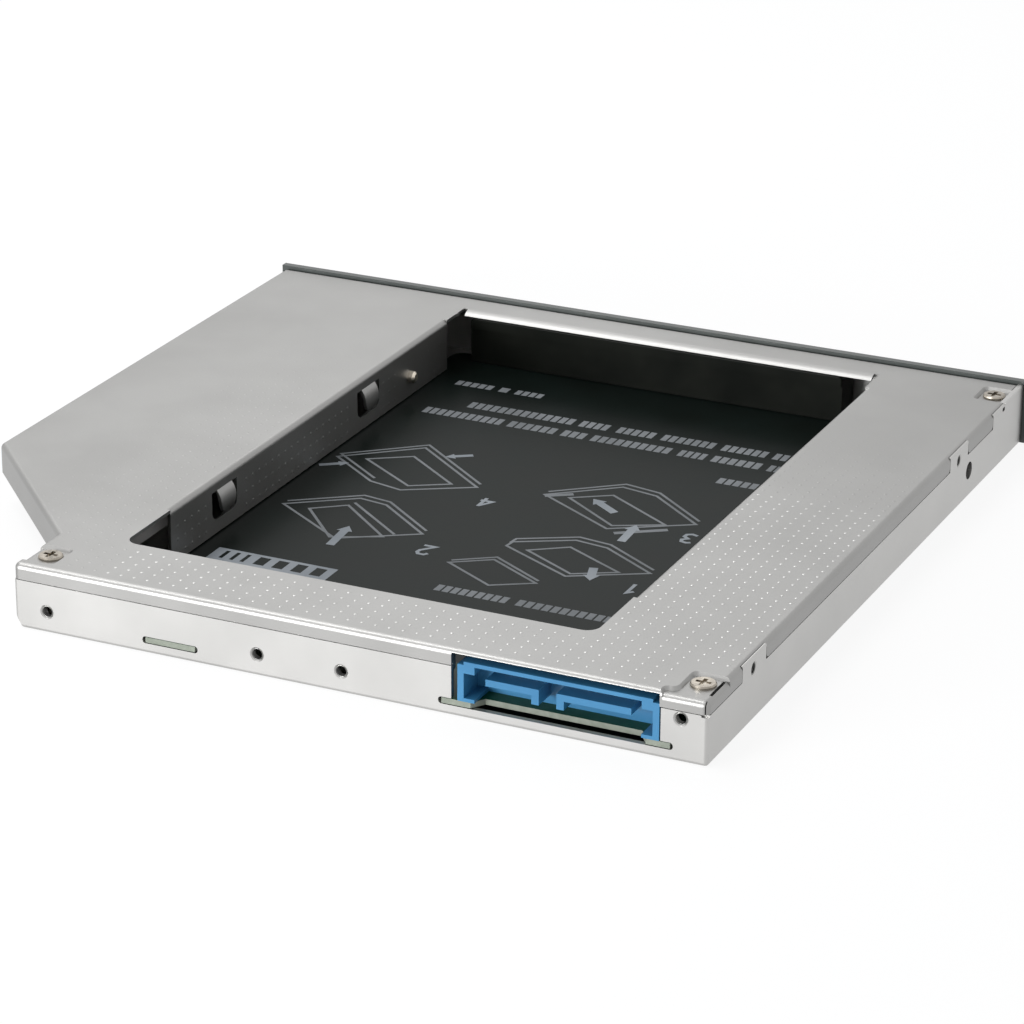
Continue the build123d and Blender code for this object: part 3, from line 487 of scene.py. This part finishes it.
def add_ring(bm, center, axis):
    """One turn of a thread, as a small torus."""
    side = to_top.cross(axis)
    loops = []
    for i in range(ring_sides):
        angle = 2 * math.pi * i / ring_sides
        out = side * math.cos(angle) + to_top * math.sin(angle)
        loop = []
        for j in range(wire_sides):
            turn = 2 * math.pi * j / wire_sides
            reach = thread_radius + thread_wire * math.cos(turn)
            place = center + out * reach + axis * thread_wire * math.sin(turn)
            loop.append(bm.verts.new(place))
        loops.append(loop)
    for here, there in zip(loops, loops[1:] + loops[:1]):
        for j in range(wire_sides):
            k = (j + 1) % wire_sides
            bm.faces.new((here[j], here[k], there[k], there[j]))


def tapped_threads(material):
    """Thread turns in the tapped holes of the rear and the side; their dark steel is painted
    shade for the inside of the holes.
    """
    bm = bmesh.new()
    holes = [(Vector((x * mm, tray_high[1], z * mm)), -to_rear) for x, z in rear_threads]
    holes += [(Vector((tray_low[0], y * mm, z * mm)), to_wing) for y, z in side_threads]
    for mouth, inwards in holes:
        for i in range(thread_turns):
            add_ring(bm, mouth + inwards * (thread_start + i * thread_pitch), inwards)
    piece = new_mesh_object("tapped_threads", bm)
    piece.data.materials.append(material)
    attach(piece, "caddy")


def add_ink(bm, corners, layer):
    """A flat field of ink on the film."""
    high = film_top + print_height + layer * ink_step
    bottom = [bm.verts.new((x * mm, y * mm, film_top)) for x, y in corners]
    top = [bm.verts.new((x * mm, y * mm, high)) for x, y in corners]
    bm.faces.new(top)
    bm.faces.new(bottom[::-1])
    for i in range(len(corners)):
        k = (i + 1) % len(corners)
        bm.faces.new((bottom[i], bottom[k], top[k], top[i]))


def add_stroke(bm, points, layer, closed=False, width=print_line):
    """A line of ink with mitred corners."""
    path = [Vector(p) for p in points]
    count = len(path)
    left, right = [], []
    for i in range(count):
        ways = []
        if closed or i > 0:
            ways.append((path[i] - path[i - 1]).normalized())
        if closed or i < count - 1:
            ways.append((path[(i + 1) % count] - path[i]).normalized())
        normals = [Vector((-way.y, way.x)) for way in ways]
        mitre = sum(normals, Vector((0, 0))).normalized()
        reach = width / 2 / max(mitre_least, mitre.dot(normals[0]))
        left.append(path[i] + mitre * reach)
        right.append(path[i] - mitre * reach)
    for i in range(count if closed else count - 1):
        k = (i + 1) % count
        add_ink(bm, [left[i], right[i], right[k], left[k]], layer)


def add_arrow(bm, tail, tip, layer, width, head):
    """A filled arrow of ink from tail to tip."""
    tail, tip = Vector(tail), Vector(tip)
    way = (tip - tail).normalized()
    side = Vector((-way.y, way.x))
    neck = tip - way * head * arrow_head_depth
    add_ink(bm, [tail + side * width / 2, tail - side * width / 2, neck - side * width / 2,
                 neck + side * width / 2], layer)
    add_ink(bm, [neck + side * head / 2, neck - side * head / 2, tip], layer)


def add_word(bm, x0, x1, y, height):
    """A word set as plain blocks."""
    count = max(1, round((x1 - x0) / letter_pitch))
    pitch = (x1 - x0) / count
    for i in range(count):
        x = x0 + i * pitch
        add_ink(bm, rectangle(x, x + pitch - letter_gap, y, y + height), base_layer)


def shifted(points, dx, dy):
    """Points moved by a step."""
    return [(x + dx, y + dy) for x, y in points]


def add_tray_sketch(bm, outline, window):
    """A slanted outline of a tray with its window and its lower edge."""
    add_stroke(bm, outline, outline_layer, closed=True)
    add_stroke(bm, window, window_layer, closed=True)
    front = outline[:1] + outline[:2:-1] + outline[2:3]
    add_stroke(bm, shifted(front, 0, -sketch_thickness), lower_layer)


def ink_piece(name, bm, material):
    """One ink of the film's print as a piece, with flat faces."""
    piece = new_mesh_object(name, bm)
    for polygon in piece.data.polygons:
        polygon.use_smooth = False
    piece.data.materials.append(material)
    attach(piece, "caddy")


def film_words(material):
    """Rows of plain blocks where the film has lines of words."""
    bm = bmesh.new()
    for y, height, words in word_rows:
        for x0, x1 in words:
            add_word(bm, x0, x1, y, height)
    ink_piece("film_words", bm, material)


def film_sketches(material):
    """Plain line sketches of how the drive goes into the caddy."""
    bm = bmesh.new()
    # Step 1: the tray with a drive above it
    add_tray_sketch(bm, [(-33.6, 11.6), (-23.2, 17.7), (-11.0, 11.2), (-11.2, 9.5), (-19.2, 5.0),
                         (-24.4, 5.7)],
                    [(-29.4, 13.2), (-23.5, 16.6), (-14.4, 11.4), (-19.5, 7.7)])
    add_stroke(bm, [(-20.5, 21.8), (-14.8, 25.3), (-6.2, 20.3), (-11.6, 16.6)], detail_layer,
               closed=True)
    add_stroke(bm, [(-20.5, 20.9), (-11.6, 15.6), (-6.2, 19.4)], under_layer)
    # Step 2: the drive set down in the tray
    add_tray_sketch(bm, [(1.8, 12.5), (12.5, 19.4), (25.4, 10.9), (16.1, 4.1), (11.5, 4.8)],
                    [(6.5, 15.9), (13.4, 19.3), (21.1, 10.9), (16.5, 7.3)])
    add_stroke(bm, [(5.4, 14.4), (16.1, 6.0)], detail_layer)
    # Step 3: the drive pushed along, with the bar beside it
    add_tray_sketch(bm, [(-32.5, -8.0), (-21.4, -0.9), (-7.8, -9.1), (-17.1, -16.8),
                         (-23.0, -15.7)],
                    [(-28.5, -5.9), (-21.6, -2.3), (-11.6, -9.5), (-17.1, -13.2)])
    add_stroke(bm, [(-29.6, -4.3), (-23.0, 0.2)], detail_layer, width=edge_line)
    add_stroke(bm, [(-11.6, -11.0), (-8.0, -8.6)], detail_layer, width=edge_line)
    # Step 4: the screws at the sides
    add_tray_sketch(bm, [(2.5, -7.3), (12.3, -1.4), (17.9, -2.7), (27.0, -9.5), (16.5, -18.5)],
                    [(6.5, -6.8), (12.0, -3.4), (22.5, -10.5), (16.5, -14.5)])
    ink_piece("film_sketches", bm, material)


def film_marks(material):
    """Paler ink: a field at the rear, the step numbers and the arrows."""
    bm = bmesh.new()
    add_ink(bm, rectangle(*field_x, *field_y), base_layer)
    for stroke, place in digit_strokes:
        add_stroke(bm, shifted(stroke, *place), mark_layer, width=digit_line)
    stem, place = four_stem
    add_stroke(bm, shifted(stem, *place), over_layer, width=digit_line)
    for tail, tip in arrows:
        add_arrow(bm, tail, tip, mark_layer, arrow_width, arrow_head)
    for tail, tip in small_arrows:
        add_arrow(bm, tail, tip, over_layer, small_arrow_width, small_arrow_head)
    ink_piece("film_marks", bm, material)


def film_blocks(material):
    """Dark plain blocks and bars over the pale field."""
    bm = bmesh.new()
    for start, width, pitch, count in block_rows:
        for i in range(count):
            x = start + i * pitch
            add_ink(bm, rectangle(x, x + width, *block_y), block_layer)
    ink_piece("film_blocks", bm, material)


def seen_directly(tree, share):
    """A factor that is the share for camera, glossy and transmission rays, and else 0."""
    path = add_node(tree, "ShaderNodeLightPath")
    total = path.outputs["Is Camera Ray"]
    for ray in ("Is Glossy Ray", "Is Transmission Ray"):
        either = add_node(tree, "ShaderNodeMath", operation="MAXIMUM")
        tree.links.new(total, either.inputs[0])
        tree.links.new(path.outputs[ray], either.inputs[1])
        total = either.outputs["Value"]
    scaled = add_node(tree, "ShaderNodeMath", operation="MULTIPLY")
    scaled.inputs[1].default_value = share
    tree.links.new(total, scaled.inputs[0])
    return scaled.outputs["Value"]


def mix_by_ray(tree, share, others, direct, surface):
    """Show one shader to rays that see the surface directly, and another to all others."""
    mix = add_node(tree, "ShaderNodeMixShader")
    tree.links.new(seen_directly(tree, share), mix.inputs["Fac"])
    tree.links.new(others, mix.inputs[1])
    tree.links.new(direct, mix.inputs[2])
    tree.links.new(mix.outputs["Shader"], surface)


def add_floor():
    """A plain pale floor that shows white and keeps a soft shadow."""
    bm = bmesh.new()
    corners = rectangle(-floor_half, floor_half, -floor_half, floor_half)
    bm.faces.new([bm.verts.new((x, y, -floor_drop)) for x, y in corners])
    floor = new_mesh_object("floor", bm)
    material, tree, shader = new_material("floor_white")
    shader.inputs["Base Color"].default_value = floor_color
    shader.inputs["Roughness"].default_value = floor_roughness
    glow = add_node(tree, "ShaderNodeEmission", Strength=1.0)
    mix_by_ray(tree, floor_glow_share, shader.outputs["BSDF"], glow.outputs["Emission"],
               tree.nodes["Material Output"].inputs["Surface"])
    floor.data.materials.append(material)


def add_world():
    """White where it is seen directly or in a gloss, and a soft grey studio to all else."""
    world = bpy.data.worlds.new("studio")
    bpy.context.scene.world = world
    world.use_nodes = True
    tree = world.node_tree
    tree.nodes.clear()
    output = add_node(tree, "ShaderNodeOutputWorld")
    studio = add_node(tree, "ShaderNodeBackground", Color=studio_color, Strength=studio_strength)
    bright = add_node(tree, "ShaderNodeBackground", Color=white, Strength=1.0)
    mix_by_ray(tree, 1.0, studio.outputs["Background"], bright.outputs["Background"],
               output.inputs["Surface"])


def add_lamps():
    """A key light, one low at the rear, one overhead and one for the cover's rear edge."""
    for name, place, aim, size, watts in lamps:
        data = bpy.data.lights.new(name, "AREA")
        data.shape = "RECTANGLE"
        data.size, data.size_y = size
        data.energy = watts
        lamp = bpy.data.objects.new(name, data)
        lamp.location = place
        way = Vector(aim) - Vector(place)
        lamp.rotation_euler = way.to_track_quat("-Z", "Y").to_euler()
        bpy.context.scene.collection.objects.link(lamp)


def add_camera():
    """The camera at the photograph's place."""
    data = bpy.data.cameras.new("camera")
    data.sensor_width = camera_sensor_mm
    data.lens = camera_lens_mm
    camera = bpy.data.objects.new("camera", data)
    camera.location = camera_place
    camera.rotation_euler = [math.radians(angle) for angle in camera_turn_deg]
    bpy.context.scene.collection.objects.link(camera)
    bpy.context.scene.camera = camera


bpy.context.scene.view_settings.view_transform = "Standard"
materials = make_materials()
dress_nodes(materials)
cover_dots(materials["dots"], materials["cover"])
tapped_threads(materials["thread"])
film_words(materials["fine_print"])
film_sketches(materials["fine_print"])
film_marks(materials["print"])
film_blocks(materials["film"])
add_floor()
add_world()
add_lamps()
add_camera()
